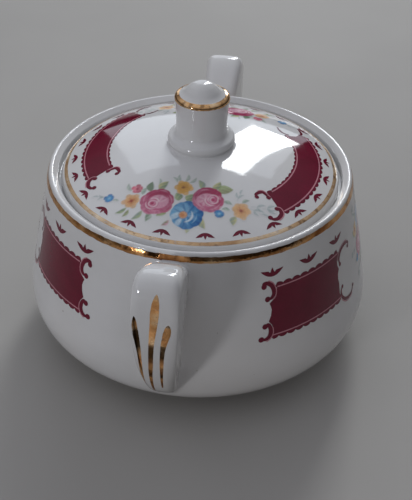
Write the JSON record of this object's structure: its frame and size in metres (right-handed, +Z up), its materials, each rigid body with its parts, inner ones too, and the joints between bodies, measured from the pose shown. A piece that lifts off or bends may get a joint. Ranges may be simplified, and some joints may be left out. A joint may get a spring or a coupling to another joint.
{
  "type": "lidded sugar bowl",
  "caption": "Round glazed sugar bowl with two loop handles, a foot ring and a lift-off domed lid with a gilded knob, decorated with panels, flower sprays and gilding.",
  "frame": {"origin": "centre of the foot ring's standing edge, on the bowl's axis", "axes": "+Z up along the bowl's axis, the two handles towards -Y and +Y, +X to the right seen from the handle at -Y"},
  "size_m": [0.1204, 0.1537, 0.097],
  "materials": {
    "white_glaze": "glossy clear glaze over an off-white earthenware body",
    "foot_biscuit": "bare unglazed clay on the standing edge of the foot ring",
    "gilding": "fired burnished gold line, worn thin in places",
    "maroon_print": "deep maroon on-glaze print with pale pink line work, glossy",
    "flower_print": "multi-coloured on-glaze flower print, glossy"
  },
  "bodies": {
    "bowl": {"bowl_body": "white_glaze", "handle_front": "white_glaze", "handle_rear": "white_glaze"},
    "lid": {"lid": "white_glaze", "knob": "white_glaze"}
  },
  "joints": [
    {"name": "lid_lift", "type": "slide", "parent": "bowl", "child": "lid", "axis": [0, 0, 1], "range_m": [0, 0.06]}
  ]
}
